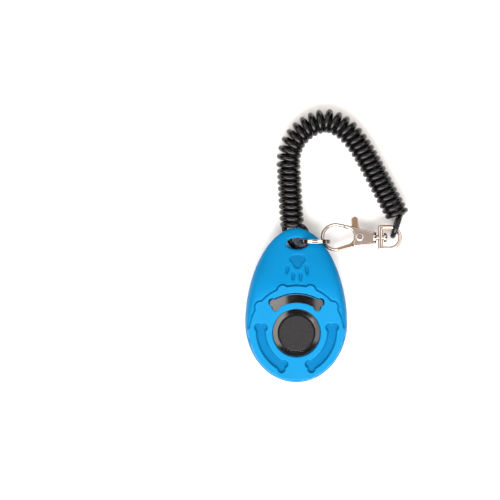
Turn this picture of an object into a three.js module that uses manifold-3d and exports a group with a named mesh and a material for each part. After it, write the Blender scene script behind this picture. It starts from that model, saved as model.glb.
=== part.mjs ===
// Button clicker for animal training, with a wrist coil on a split ring and a swivel clasp.
// Millimetres. The case lies on its back: +Z is the way the button faces, +Y runs towards the tip
// with the eye, and the origin is on the button's axis in the plane that the back rests on.
import * as THREE from 'three';
import { mergeVertices } from 'three/addons/utils/BufferGeometryUtils.js';
import Module from 'manifold-3d';

const wasm = await Module();
wasm.setup();

// Case
const CASE = {
  halfWidth: 21.5, widestY: 4.0, tipY: 44.0, bottomY: -21.1, // outline at the parting plane
  parting: 8.65, // height of the parting plane, half the case's thickness
  shoulder: 8.2, tipHeight: 3.2, // height of the dome above the parting plane, at the button and at the tip
  fallFromY: 14.0, fallToY: 46.0, // where the dome falls from the shoulder to the tip
  sideRounding: 22, tipRounding: 5, // powers of the rounded edge: high is a tight edge, low a soft one
  wall: 1.8, roof: 1.25, partingGap: 0.1,
  plateauRadius: 19.56, knobCount: 10, knobRadius: 2.2, knobReach: 20.8,
  backPlateauRadius: 19.4,
  solidTipY: 32.9, // the case is solid beyond this, round the eye
};
const EYE = { x: 0.4, y: 37.4, halfLength: 4.55, halfWidth: 2.4 };
const BONE = {
  arcRadius: 17.15, arcSetBack: 2.5, // the arc's centre lies beyond the button's axis
  width: 3.75, lobeAngle: 33.3, lobeSpread: 1.2, lobeRadius: 1.5, blindDepth: 1.0,
};
const BONE_ANGLES = [0, 119.5, -119.5]; // from +Y; the first is cut through, the others are blind
const PAW = { depth: 0.55, pad: [0.5, 29.9, 3.5, 3.1] }; // pad: x, y and its two half widths
const TOES = [[-3.8, 26.5, 0.75, 2.1, -10], [-1.4, 23.9, 0.8, 2.1, 0], [1.7, 23.6, 0.8, 2.1, 2],
  [4.4, 26.4, 0.8, 2.4, 6]]; // x, y, the two half widths, turn in degrees

// Click mechanism
const DOME = { innerRadius: 2.3, radius: 17.5, apexZ: 15.0, drop: 1.4, thickness: 0.5 };
const SEAT = { inner: 16.5, outer: 17.9, topZ: 13.1 };
const SKIRT = { inner: 16.9, outer: 18.0, bottomZ: 14.2 };
const BUTTON = { radius: 7.7, topZ: 18.2, undersideZ: 15.7, postRadius: 1.9, postEndZ: 13.3 };
const BUTTON_OPENING = { radius: 10.1, chamfer: 0.5 };
const RETAINER = { inner: 2.1, outer: 3.4, bottomZ: 13.75, topZ: 14.35 };

// Case screw in the tip, driven from the back
const SCREW = { y: 24.0, headRadius: 2.3, headZ: 2.2, seatZ: 3.4, shankRadius: 1.45, endZ: 13.0, slot: 0.6 };
const LIP = { outerInset: 1.15, innerInset: 2.2, rebateInset: 0.9, height: 1.2, rebateHeight: 1.5, endY: 32.4 };

// Split ring, standing across the eye with its axis along Y
const RING = { x: 7.9, y: 38.2, z: 7.7, inner: 5.75, outer: 6.75, width: 1.4, groove: 0.16 };

// Swivel clasp: its own frame has X along the swivel axis, with the rivet at x = 0
const CLASP = { x: 26.9, y: 39.9, z: 6.0, hookThickness: 2.4, bodyThickness: 3.8, bevel: 0.35 };
const HOOK = { x: -10.0, y: 0.2, outer: [6.4, 6.1], inner: [5.0, 4.6] };
const RIVET = { y: 0.3, radius: 1.2, headRadius: 1.6, headHeight: 0.35 };
const SLOT = { fromX: -4.5, toX: 3.7, halfHeight: 1.05 };
const GATE = { bottomZ: -0.85, thickness: 1.2, tabX: -2.05, tabY: 7.4, tabRadius: 1.45 };
const GATE_SPRING = { radius: 1.95, wireRadius: 0.22, z: 0.7 };
const PIN = { collarFromX: 5.5, collarToX: 7.0, collarRadius: 2.6, radius: 1.0, headFromX: 10.2, headToX: 11.5,
  headRadius: 2.0, boreRadius: 1.1 };
const SWIVEL_EYE = { x: 34.6, halfWidth: 5.3, bar: 1.6, base: 2.1, straight: 4.9, boreRadius: 1.2 };

// Cord
const CORD = { radius: 1.15, coilRadius: 5.25, coilZ: 5.35 };
const COIL_ROUTE = [[-1.5, 45.4], [-2.0, 50.2], [-3.0, 67.3], [-3.2, 72.7], [-1.8, 78.9], [2.0, 84.3],
  [7.4, 88.0], [13.2, 89.4], [19.3, 86.9], [24.1, 82.4], [28.9, 75.5], [34.1, 66.0], [38.8, 57.2], [43.2, 49.1]];
const CASE_LOOP_ROUTE = [[-5.3, 44.4, 5.2], [-4.6, 42.4, 4.9], [-3.4, 40.2, 4.6], [-2.5, 38.2, 4.2],
  [-1.4, 36.4, 3.5], [0.3, 35.2, 3.1], [2.3, 34.7, 3.0], [4.1, 34.9, 3.1], [5.2, 36.0, 3.7],
  [5.6, 37.6, 4.2], [5.5, 39.4, 4.5], [5.0, 41.2, 4.7], [4.2, 43.0, 5.0], [3.4, 44.4, 5.2]];
const CLASP_LOOP = { start: [43.5, 48.1], along: [-0.32, -0.947], reach: 8.2, z: 5.6, radius: 4.05 };

const ROUND = 32; // segments round a turned piece
const OUTLINE_STEPS = 14; // segments on each quarter of the case's outline

const colours = {
  blue: { color: 0x1d9fee, roughness: 0.42, metalness: 0 },
  darkBlue: { color: 0x158fd8, roughness: 0.45, metalness: 0 },
  charcoal: { color: 0x3f3c3e, roughness: 0.75, metalness: 0 },
  steel: { color: 0xc9ccce, roughness: 0.22, metalness: 1 },
  nickel: { color: 0xd2cfc8, roughness: 0.2, metalness: 1 },
  black: { color: 0x141416, roughness: 0.3, metalness: 0 },
};

// ---- Solids -------------------------------------------------------------------------------

const degrees = (angle) => angle * Math.PI / 180;

/** A solid from a closed geometry, with its faces turned outward. */
function solidOf(geometry) {
  const bare = geometry.index ? geometry : geometry.clone();
  bare.deleteAttribute('normal');
  bare.deleteAttribute('uv');
  const merged = mergeVertices(bare, 1e-4);
  const points = merged.attributes.position.array;
  const triangles = [];
  let volume = 0;
  const at = (i) => new THREE.Vector3().fromArray(points, 3 * i);
  for (let i = 0; i < merged.index.count; i += 3) {
    const [a, b, c] = [0, 1, 2].map((k) => merged.index.getX(i + k));
    if (a === b || b === c || c === a) continue;
    triangles.push(a, b, c);
    volume += at(a).dot(at(b).cross(at(c)));
  }
  if (volume < 0) {
    for (let i = 0; i < triangles.length; i += 3) [triangles[i], triangles[i + 1]] = [triangles[i + 1], triangles[i]];
  }
  return new wasm.Manifold(new wasm.Mesh({
    numProp: 3, vertProperties: new Float32Array(points), triVerts: new Uint32Array(triangles),
  }));
}

/** The geometry of a finished solid. */
function geometryOf(solid) {
  const mesh = solid.getMesh();
  const geometry = new THREE.BufferGeometry();
  geometry.setAttribute('position', new THREE.BufferAttribute(new Float32Array(mesh.vertProperties), 3));
  geometry.setIndex(new THREE.BufferAttribute(new Uint32Array(mesh.triVerts), 1));
  geometry.computeVertexNormals();
  return geometry;
}

/** A shape extruded between two heights. */
function slab(shape, fromZ, toZ, curveSegments = 10) {
  const geometry = new THREE.ExtrudeGeometry(shape, { depth: toZ - fromZ, bevelEnabled: false, curveSegments });
  return solidOf(geometry.translate(0, 0, fromZ));
}

/** A shape extruded to a thickness about z = 0, with its edges bevelled. */
function bevelledPlate(shape, thickness, bevel, curveSegments = 10) {
  const geometry = new THREE.ExtrudeGeometry(shape, {
    depth: thickness - 2 * bevel, curveSegments,
    bevelEnabled: true, bevelSegments: 1, bevelThickness: bevel, bevelSize: bevel, bevelOffset: -bevel,
  });
  return solidOf(geometry.translate(0, 0, bevel - thickness / 2));
}

/** A profile of [radius, height] points turned about an axis, which is Y, or Z or X when it is named. */
function turned(profile, axis = 'z', segments = ROUND) {
  const geometry = new THREE.LatheGeometry(profile.map(([r, h]) => new THREE.Vector2(r, h)), segments);
  if (axis === 'z') geometry.rotateX(Math.PI / 2);
  if (axis === 'x') geometry.rotateZ(-Math.PI / 2);
  return solidOf(geometry);
}

const disc = (radius, fromZ, toZ) => turned([[0, fromZ], [radius, fromZ], [radius, toZ], [0, toZ]]);
const washer = (inner, outer, fromZ, toZ) =>
  turned([[inner, fromZ], [outer, fromZ], [outer, toZ], [inner, toZ], [inner, fromZ]]);

function box(fromX, toX, fromY, toY, fromZ, toZ) {
  const geometry = new THREE.BoxGeometry(toX - fromX, toY - fromY, toZ - fromZ);
  geometry.translate((fromX + toX) / 2, (fromY + toY) / 2, (fromZ + toZ) / 2);
  return solidOf(geometry);
}

function ellipse(x, y, halfX, halfY, turn = 0) {
  const shape = new THREE.Shape();
  shape.absellipse(x, y, halfX, halfY, 0, 2 * Math.PI, false, degrees(turn));
  return shape;
}

/** A round bar of constant radius along a curve through points. */
function tube(points, radius, sides, steps) {
  const section = new THREE.Shape();
  for (let i = 0; i < sides; i += 1) {
    const angle = (2 * Math.PI * i) / sides;
    const [x, y] = [radius * Math.cos(angle), radius * Math.sin(angle)];
    if (i === 0) section.moveTo(x, y);
    else section.lineTo(x, y);
  }
  const path = new THREE.CatmullRomCurve3(points.map((p) => new THREE.Vector3(...p)), false, 'centripetal');
  return solidOf(new THREE.ExtrudeGeometry(section, { extrudePath: path, steps, bevelEnabled: false }));
}

// ---- Case ---------------------------------------------------------------------------------

/** The outline's points, counter-clockwise from the widest place on +X, moved in towards the button's axis. */
function outlinePoints(inset = 0) {
  const points = [];
  for (let i = 0; i < 4 * OUTLINE_STEPS; i += 1) {
    const quarter = Math.floor(i / OUTLINE_STEPS);
    const step = ((i % OUTLINE_STEPS) / OUTLINE_STEPS) * (Math.PI / 2);
    const angle = quarter % 2 === 0 ? step : Math.PI / 2 - step;
    const side = quarter === 0 || quarter === 3 ? 1 : -1;
    const point = quarter < 2
      ? new THREE.Vector2(side * CASE.halfWidth * Math.cos(angle) ** 1.06,
        CASE.widestY + (CASE.tipY - CASE.widestY) * Math.sin(angle) ** (2 / 1.9))
      : new THREE.Vector2(side * CASE.halfWidth * Math.cos(angle),
        CASE.widestY - (CASE.widestY - CASE.bottomY) * Math.sin(angle));
    points.push(point.multiplyScalar(1 - inset / point.length()));
  }
  return points;
}

function outlineShape(inset) {
  return new THREE.Shape(outlinePoints(inset));
}

/** Height of the dome's crown above the parting plane, falling in a smooth curve towards the tip. */
function crownHeight(y) {
  const way = THREE.MathUtils.clamp((y - CASE.fallFromY) / (CASE.fallToY - CASE.fallFromY), 0, 1);
  return CASE.tipHeight + (CASE.shoulder - CASE.tipHeight) * (1 + Math.cos(Math.PI * way)) / 2;
}

/** Half of the case's outer or inner form: flat at baseZ, domed upward, with a rounded edge. */
function domedHalf(inset, drop, baseZ, edgeSteps) {
  const rim = outlinePoints(inset);
  const count = rim.length;
  const positions = [0, 0, baseZ];
  rim.forEach((p) => positions.push(p.x, p.y, baseZ));
  const addRing = (shareOfRim) => rim.forEach((p) => {
    const softness = THREE.MathUtils.smoothstep(p.y, 4, 42);
    const power = THREE.MathUtils.lerp(CASE.sideRounding, CASE.tipRounding, softness);
    const share = shareOfRim(power);
    const rise = (1 - share ** power) ** (1 / 2.2);
    positions.push(share * p.x, share * p.y, baseZ + (crownHeight(share * p.y) - drop) * rise);
  });
  const innerShares = [0.8, 0.6, 0.4, 0.2];
  for (let i = 1; i <= edgeSteps; i += 1) {
    const angle = (degrees(80) * i) / edgeSteps;
    addRing((power) => Math.cos(angle) ** (2 / power));
  }
  innerShares.forEach((inner) => addRing((power) => inner * Math.cos(degrees(80)) ** (2 / power)));
  positions.push(0, 0, baseZ + crownHeight(0) - drop);
  const rings = 1 + edgeSteps + innerShares.length;
  const index = [];
  for (let i = 0; i < count; i += 1) {
    const next = (i + 1) % count;
    index.push(0, 1 + next, 1 + i);
    for (let ring = 0; ring < rings - 1; ring += 1) {
      const [low, high] = [1 + ring * count, 1 + (ring + 1) * count];
      index.push(low + i, low + next, high + next, low + i, high + next, high + i);
    }
    const last = 1 + (rings - 1) * count;
    index.push(last + i, last + next, last + count);
  }
  const geometry = new THREE.BufferGeometry();
  geometry.setAttribute('position', new THREE.BufferAttribute(new Float32Array(positions), 3));
  geometry.setIndex(index);
  return solidOf(geometry);
}

/** One bone centred on the arc at an angle from +Y, between two heights. */
function bone(angleFromY, fromZ, toZ) {
  const half = degrees(BONE.lobeAngle);
  const centre = degrees(90 + angleFromY);
  const [inner, outer] = [BONE.arcRadius - BONE.width / 2, BONE.arcRadius + BONE.width / 2];
  const [arcX, arcY] = [-BONE.arcSetBack * Math.cos(centre), -BONE.arcSetBack * Math.sin(centre)];
  const bar = new THREE.Shape();
  bar.absarc(arcX, arcY, outer, centre - half, centre + half, false);
  bar.absarc(arcX, arcY, inner, centre + half, centre - half, true);
  let solid = slab(bar, fromZ, toZ, 8);
  for (const end of [-half, half]) {
    for (const spread of [-BONE.lobeSpread, BONE.lobeSpread]) {
      const radius = BONE.arcRadius + spread;
      const lobe = ellipse(arcX + radius * Math.cos(centre + end), arcY + radius * Math.sin(centre + end),
        BONE.lobeRadius, BONE.lobeRadius);
      solid = solid.add(slab(lobe, fromZ, toZ, 7));
    }
  }
  return solid;
}

function eyeHole() {
  return slab(ellipse(EYE.x, EYE.y, EYE.halfLength, EYE.halfWidth), -1, 20, 14);
}

function plateau(topZ) {
  let solid = disc(CASE.plateauRadius, CASE.parting + 5, topZ);
  const knobCentre = CASE.knobReach - CASE.knobRadius;
  for (let i = 0; i < CASE.knobCount; i += 1) {
    const angle = degrees(90 + (360 / CASE.knobCount) * (i + 0.5));
    const knob = ellipse(knobCentre * Math.cos(angle), knobCentre * Math.sin(angle), CASE.knobRadius,
      CASE.knobRadius);
    solid = solid.add(slab(knob, CASE.parting + 5, topZ, 8));
  }
  return solid.intersect(slab(outlineShape(0.25), 0, topZ + 1));
}

function pawCut() {
  const [x, y, halfX, halfY] = PAW.pad;
  let prints = slab(ellipse(x, y, halfX, halfY), CASE.parting, 20, 12);
  for (const [toeX, toeY, toeHalfX, toeHalfY, turn] of TOES) {
    prints = prints.add(slab(ellipse(toeX, toeY, toeHalfX, toeHalfY, turn), CASE.parting, 20, 8));
  }
  return prints.subtract(domedHalf(0, PAW.depth, CASE.parting + CASE.partingGap / 2, 6));
}

const beyondTip = (fromY) => box(-30, 30, fromY, 60, -5, 25);
const cavity = () => domedHalf(CASE.wall, CASE.roof, CASE.parting, 4).subtract(beyondTip(CASE.solidTipY));

function frontCover() {
  const baseZ = CASE.parting + CASE.partingGap / 2;
  const topZ = 2 * CASE.parting;
  const rebate = slab(outlineShape(LIP.rebateInset), 0, CASE.parting + LIP.rebateHeight)
    .subtract(beyondTip(CASE.solidTipY));
  const boss = disc(2.8, 7.0, 14.4).translate([0, SCREW.y, 0]);
  const pilot = disc(SCREW.shankRadius + 0.15, 6, 13.4).translate([0, SCREW.y, 0]);
  const { radius, chamfer } = BUTTON_OPENING;
  const opening = turned([[0, 14.5], [radius, 14.5], [radius, topZ - chamfer], [radius + 2 * chamfer,
    topZ + chamfer], [0, topZ + chamfer]]);
  let cover = domedHalf(0, 0, baseZ, 6).add(plateau(topZ)).subtract(cavity()).subtract(rebate);
  cover = cover.add(washer(SKIRT.inner, SKIRT.outer, SKIRT.bottomZ, 15.9)).add(boss).subtract(pilot);
  cover = cover.subtract(opening).subtract(eyeHole()).subtract(pawCut());
  BONE_ANGLES.forEach((angle, i) => {
    cover = cover.subtract(bone(angle, i === 0 ? 15.0 : topZ - BONE.blindDepth, topZ + 1));
  });
  return cover;
}

function backCover() {
  const upsideDown = (solid) => solid.scale([1, 1, -1]).translate([0, 0, 2 * CASE.parting]);
  const baseZ = CASE.parting + CASE.partingGap / 2;
  const shell = upsideDown(domedHalf(0, 0, baseZ, 6)).add(disc(CASE.backPlateauRadius, 0, 2.5))
    .subtract(upsideDown(cavity()));
  const lip = slab(outlineShape(LIP.outerInset), CASE.parting - 2.5, CASE.parting + LIP.height)
    .subtract(slab(outlineShape(LIP.innerInset), 0, 15)).subtract(beyondTip(LIP.endY));
  const post = disc(3.4, 1.3, 6.7).translate([0, SCREW.y, 0]);
  const hole = disc(SCREW.shankRadius + 0.25, 0, 8).translate([0, SCREW.y, 0]);
  const counterbore = disc(SCREW.headRadius + 0.3, -1, SCREW.seatZ + 0.2).translate([0, SCREW.y, 0]);
  return shell.add(lip).add(washer(SEAT.inner, SEAT.outer, 1.4, SEAT.topZ)).add(post)
    .subtract(hole).subtract(counterbore).subtract(eyeHole());
}

function caseScrew() {
  const { headRadius, headZ, seatZ, shankRadius, endZ, slot } = SCREW;
  const screw = turned([[0, headZ], [headRadius, headZ], [headRadius, seatZ], [shankRadius, seatZ],
    [shankRadius, endZ - 1.2], [0, endZ]], 'z', 20);
  const reach = 0.7 * headRadius;
  return screw.subtract(box(-slot / 2, slot / 2, -reach, reach, 0, headZ + 0.7))
    .subtract(box(-reach, reach, -slot / 2, slot / 2, 0, headZ + 0.7));
}

// ---- Click mechanism ----------------------------------------------------------------------

function clickDome() {
  const steps = 5;
  const middle = (r) => DOME.apexZ - DOME.drop * (r / DOME.radius) ** 2;
  const radii = Array.from({ length: steps + 1 }, (_, i) =>
    DOME.innerRadius + ((DOME.radius - DOME.innerRadius) * i) / steps);
  const lower = radii.map((r) => [r, middle(r) - DOME.thickness / 2]);
  const upper = radii.map((r) => [r, middle(r) + DOME.thickness / 2]).reverse();
  return turned([...lower, ...upper, lower[0]]);
}

function buttonCap() {
  const { radius, topZ, undersideZ, postRadius, postEndZ } = BUTTON;
  return turned([[0, postEndZ], [postRadius, postEndZ], [postRadius, undersideZ], [radius - 0.7, undersideZ],
    [radius, undersideZ + 0.5], [radius, topZ - 0.4], [radius - 0.4, topZ], [0, topZ]]);
}

// ---- Ring and clasp -----------------------------------------------------------------------

/** Two turns of flat wire side by side, with a groove where they meet. */
function splitRing() {
  const { inner, outer, width, groove } = RING;
  const [half, corner] = [width / 2, 0.2];
  const side = (sign) => [[inner, 0], [inner, sign * (half - corner)], [inner + corner, sign * half],
    [outer - corner, sign * half], [outer, sign * (half - corner)], [outer, sign * groove], [outer - groove, 0]];
  return turned([...side(-1), ...side(1).reverse().slice(1)], 'y', 36);
}

function hookShape() {
  const shape = new THREE.Shape();
  shape.moveTo(HOOK.x, HOOK.y - HOOK.outer[1]);
  shape.absellipse(HOOK.x, HOOK.y, ...HOOK.outer, -Math.PI / 2, Math.PI / 2, true);
  shape.lineTo(6.6, 2.1);
  shape.lineTo(6.6, -2.7);
  shape.lineTo(-2.9, -3.9);
  shape.lineTo(-2.9, -2.3);
  shape.quadraticCurveTo(-1.6, 0.4, -3.6, 3.5);
  shape.lineTo(HOOK.x, HOOK.y + HOOK.inner[1]);
  shape.absellipse(HOOK.x, HOOK.y, ...HOOK.inner, Math.PI / 2, (3 * Math.PI) / 2, false);
  return shape;
}

/** The thicker part of the clasp round the rivet, which the gate's slot splits into two cheeks. */
function cheekShape() {
  const shape = new THREE.Shape();
  shape.moveTo(-6.3, 5.4);
  shape.lineTo(6.6, 2.1);
  shape.lineTo(6.6, -2.7);
  shape.lineTo(-2.9, -3.9);
  shape.lineTo(-2.9, -2.3);
  shape.quadraticCurveTo(-1.6, 0.4, -3.6, 3.5);
  shape.lineTo(-6.3, 4.0);
  return shape;
}

function claspBody() {
  const collar = turned([[0, PIN.collarFromX], [PIN.collarRadius, PIN.collarFromX],
    [PIN.collarRadius, PIN.collarToX], [0, PIN.collarToX]], 'x', 24);
  const bore = turned([[0, PIN.collarFromX + 0.3], [PIN.boreRadius, PIN.collarFromX + 0.3],
    [PIN.boreRadius, 8], [0, 8]], 'x', 20);
  const rivetHole = disc(RIVET.radius + 0.1, -4, 4).translate([0, RIVET.y, 0]);
  return bevelledPlate(hookShape(), CLASP.hookThickness, CLASP.bevel)
    .add(bevelledPlate(cheekShape(), CLASP.bodyThickness, CLASP.bevel)).add(collar)
    .subtract(box(SLOT.fromX, SLOT.toX, -12, 12, -SLOT.halfHeight, SLOT.halfHeight))
    .subtract(rivetHole).subtract(bore);
}

function claspGate() {
  const shape = new THREE.Shape();
  shape.moveTo(-9.1, -5.6);
  shape.lineTo(-3.0, -4.1);
  shape.lineTo(0.4, -2.3);
  shape.absarc(0, RIVET.y, 2.4, degrees(-70), degrees(70), false);
  shape.lineTo(GATE.tabX + GATE.tabRadius + 0.2, 4.6);
  shape.absarc(GATE.tabX, GATE.tabY, GATE.tabRadius, 0, Math.PI, false);
  shape.lineTo(GATE.tabX - GATE.tabRadius + 0.1, 4.3);
  shape.lineTo(-2.3, 1.2);
  shape.lineTo(-2.6, -1.0);
  shape.lineTo(-4.0, -2.4);
  shape.lineTo(-9.5, -4.3);
  const hole = disc(RIVET.radius + 0.1, -4, 4).translate([0, RIVET.y, 0]);
  return slab(shape, GATE.bottomZ, GATE.bottomZ + GATE.thickness).subtract(hole);
}

function gateSpring() {
  const sides = 6;
  const profile = Array.from({ length: sides + 1 }, (_, i) => {
    const angle = (2 * Math.PI * (i % sides)) / sides;
    return [GATE_SPRING.radius + GATE_SPRING.wireRadius * Math.cos(angle),
      GATE_SPRING.wireRadius * Math.sin(angle)];
  });
  return turned(profile, 'z', 16);
}

function gateRivet() {
  const { radius, headRadius, headHeight } = RIVET;
  const grip = CLASP.bodyThickness / 2 + 0.1;
  return turned([[0, -grip - headHeight], [headRadius - 0.2, -grip - headHeight], [headRadius, -grip],
    [radius, -grip], [radius, grip], [headRadius, grip], [headRadius - 0.2, grip + headHeight],
    [0, grip + headHeight]], 'z', 24);
}

function swivelPin() {
  const { collarFromX, radius, headFromX, headToX, headRadius } = PIN;
  return turned([[0, collarFromX + 0.5], [radius, collarFromX + 0.5], [radius, headFromX],
    [headRadius, headFromX], [headRadius, headToX - 0.4], [headRadius - 0.5, headToX], [0, headToX]], 'x', 20);
}

function swivelEye() {
  const { halfWidth, bar, base, straight, boreRadius } = SWIVEL_EYE;
  const dShape = (outline, fromX, half) => {
    outline.moveTo(fromX, -half);
    outline.lineTo(straight, -half);
    outline.absarc(straight, 0, half, -Math.PI / 2, Math.PI / 2, false);
    outline.lineTo(fromX, half);
    return outline;
  };
  const shape = dShape(new THREE.Shape(), 0, halfWidth);
  shape.holes.push(dShape(new THREE.Path(), base, halfWidth - bar));
  const bore = turned([[0, -1], [boreRadius, -1], [boreRadius, base + 1], [0, base + 1]], 'x', 20);
  return bevelledPlate(shape, CLASP.hookThickness, CLASP.bevel, 12).subtract(bore);
}

// ---- Cord ---------------------------------------------------------------------------------

function wristCoil() {
  return tube(COIL_ROUTE.map(([x, y]) => [x, y, CORD.coilZ]), CORD.coilRadius, 10, 30);
}

/** A standing loop from the top of the coil's end, round the eye's bar and back below it. */
function claspLoopRoute() {
  const { start, along, reach, z, radius } = CLASP_LOOP;
  const at = (distance, height) => [start[0] + along[0] * distance, start[1] + along[1] * distance, z + height];
  const straight = reach - radius;
  const bend = [75, 50, 25, 0, -25, -50, -75].map((angle) =>
    at(straight + radius * Math.cos(degrees(angle)), radius * Math.sin(degrees(angle))));
  return [at(0, radius), at(straight / 2, radius), at(straight, radius), ...bend, at(straight, -radius),
    at(straight / 2, -radius), at(0, -radius)];
}

// ---- Assembly -----------------------------------------------------------------------------

function piece(name, solid, finish) {
  const mesh = new THREE.Mesh(geometryOf(solid), new THREE.MeshStandardMaterial(colours[finish]));
  mesh.name = name;
  return mesh;
}

function place(object, x, y, z) {
  object.position.set(x, y, z);
  return object;
}

function placedGroup(x, y, z, ...objects) {
  const group = place(new THREE.Group(), x, y, z);
  group.add(...objects);
  return group;
}

const group = new THREE.Group();
group.add(
  piece('front_cover', frontCover(), 'blue'),
  piece('back_cover', backCover(), 'darkBlue'),
  place(piece('case_screw', caseScrew(), 'steel'), 0, SCREW.y, 0),
  piece('click_dome', clickDome(), 'steel'),
  piece('button_cap', buttonCap(), 'charcoal'),
  piece('button_retainer', washer(RETAINER.inner, RETAINER.outer, RETAINER.bottomZ, RETAINER.topZ), 'steel'),
  place(piece('split_ring', splitRing(), 'nickel'), RING.x, RING.y, RING.z),
  placedGroup(CLASP.x, CLASP.y, CLASP.z,
    piece('clasp_body', claspBody(), 'nickel'),
    piece('swivel_pin', swivelPin(), 'nickel'),
    piece('clasp_gate', claspGate(), 'nickel'),
    place(piece('gate_spring', gateSpring(), 'steel'), 0, RIVET.y, GATE_SPRING.z),
    place(piece('gate_rivet', gateRivet(), 'nickel'), 0, RIVET.y, 0)),
  place(piece('swivel_eye', swivelEye(), 'nickel'), SWIVEL_EYE.x, CLASP.y, CLASP.z),
  piece('wrist_coil', wristCoil(), 'black'),
  piece('case_cord_loop', tube(CASE_LOOP_ROUTE, CORD.radius, 8, 20), 'black'),
  piece('clasp_cord_loop', tube(claspLoopRoute(), CORD.radius, 8, 18), 'black'),
);

export default group;
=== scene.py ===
"""Button clicker for animal training, with a wrist coil, a split ring and a swivel clasp.

Lengths in the tables below are millimetres, as on a drawing; every mesh is made in metres.
"""

import math

import bmesh
import bpy
import numpy as np
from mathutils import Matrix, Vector
from mathutils.geometry import delaunay_2d_cdt


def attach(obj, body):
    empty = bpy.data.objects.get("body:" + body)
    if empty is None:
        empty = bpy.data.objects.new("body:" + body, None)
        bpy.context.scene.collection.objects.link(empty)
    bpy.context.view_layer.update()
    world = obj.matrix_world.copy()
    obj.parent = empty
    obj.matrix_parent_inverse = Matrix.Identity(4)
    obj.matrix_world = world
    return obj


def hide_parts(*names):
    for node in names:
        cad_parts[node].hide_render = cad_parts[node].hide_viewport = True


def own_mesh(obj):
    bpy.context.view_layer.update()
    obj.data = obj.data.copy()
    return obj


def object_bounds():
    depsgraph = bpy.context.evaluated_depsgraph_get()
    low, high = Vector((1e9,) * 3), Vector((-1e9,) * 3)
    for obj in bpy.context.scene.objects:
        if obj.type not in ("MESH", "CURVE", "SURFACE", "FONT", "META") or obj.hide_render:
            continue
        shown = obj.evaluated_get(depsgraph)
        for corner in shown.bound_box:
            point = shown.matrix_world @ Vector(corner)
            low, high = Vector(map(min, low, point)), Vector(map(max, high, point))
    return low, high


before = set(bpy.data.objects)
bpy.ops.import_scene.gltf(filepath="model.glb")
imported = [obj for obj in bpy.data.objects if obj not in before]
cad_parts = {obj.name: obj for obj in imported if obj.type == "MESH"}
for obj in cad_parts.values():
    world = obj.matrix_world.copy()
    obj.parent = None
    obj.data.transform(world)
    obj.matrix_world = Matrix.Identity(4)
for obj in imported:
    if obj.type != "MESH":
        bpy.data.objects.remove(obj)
cad_low, cad_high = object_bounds()

MM = 0.001

# Camera: straight above, turned so that the tip points up in the picture
VIEW_OFFSET = (-32.5, -2.0)  # from the middle of the object's box to the middle of the view
VIEW_WIDTH = 210.75
CAMERA_HEIGHT = 1000.0
SENSOR_WIDTH = 36.0

# Case
HALF_WIDTH, WIDEST_Y, TIP_Y, BOTTOM_Y = 21.5, 4.0, 44.0, -21.1
SIDE_POWER, TIP_POWER = 1.06, 2 / 1.9  # how full the outline is towards the tip
PARTING, PARTING_GAP, SEAM_CHAMFER = 8.65, 0.1, 0.15
SHOULDER, TIP_HEIGHT = 8.2, 3.2
FALL_FROM_Y, FALL_TO_Y = 14.0, 46.0
SIDE_ROUNDING, TIP_ROUNDING, DOME_POWER = 22.0, 5.0, 2.2
TIP_FROM_Y, TIP_LENGTH = 4.0, 38.0  # where the rim's rounding changes from the side's to the tip's
SIDE_RING, TIP_RING = 0.25, 2.85  # width of the rim's rings of points
WALL, ROOF, CEILING_Z, TOP_Z = 1.8, 1.25, 15.6, 17.3
SOLID_TIP_Y = 32.9
PLATEAU_RADIUS, KNOB_COUNT, KNOB_RADIUS, KNOB_REACH = 19.56, 10, 2.2, 20.8
STEP_HALF, STEP_GROOVE, GROOVE_FROM_EDGE = 0.2, 0.55, 0.32  # a groove lies at the foot of the plateau's step
BACK_PLATEAU_RADIUS = 19.4
PLATEAU_MARGIN = 0.85  # least distance from a plateau's edge to the case's outline
EYE = (0.4, 37.4, 4.55, 2.4)
BONE_RADIUS, BONE_SET_BACK, BONE_WIDTH, BONE_HALF_ANGLE = 17.15, 2.5, 3.75, 33.3
LOBE_SPREAD, LOBE_RADIUS, BONE_DEPTH = 1.2, 1.5, 1.25
BONE_ANGLES = (0.0, 119.5, -119.5)
SLOT_EXTRA = 0.15  # the through bone is a little wider than the blind ones
PAD_CENTRE, PAD_DEPTH, TOE_DEPTH = (0.5, 29.9), 0.4, 0.6
PAD_LOBES = ((-1.75, 1.1, 1.85), (1.75, 1.1, 1.85), (0.0, 1.0, 2.1), (0.0, -1.2, 2.0))
TOES = ((-3.8, 26.5, 0.75, 2.1, -10), (-1.4, 23.9, 0.8, 2.1, 0),
        (1.7, 23.6, 0.8, 2.1, 2), (4.4, 26.4, 0.8, 2.4, 6))
KNOB_BLEND, RIM_BLEND, LOBE_BLEND, PAD_BLEND = 0.5, 0.4, 0.25, 1.2  # how softly joined outlines meet
PAD_INSET = 0.15
OPENING_RADIUS = 10.1
SCREW_Y, COUNTERBORE_RADIUS, SCREW_SEAT_Z = 24.0, 2.6, 3.6
EYE_FILLET, OPENING_FILLET, SLOT_FILLET = 0.9, 0.45, 0.3
CASE_BOX = (-22, -22, 22, 45)
RECESS_EDGE = -0.05  # the painted shade starts this far inside a recess's edge
FACE_FADE = (16.45, 17.15)  # heights between which the blue turns from the darker painted shade below to the paler face

# Click mechanism
DOME_HOLE, DOME_RADIUS, DOME_APEX_Z, DOME_DROP, DOME_THICKNESS = 2.3, 17.5, 15.0, 1.4, 0.5
BUTTON_RADIUS, BUTTON_TOP_Z, BUTTON_UNDER_Z, POST_RADIUS, POST_END_Z = 7.95, 18.2, 15.7, 1.9, 13.3

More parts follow.
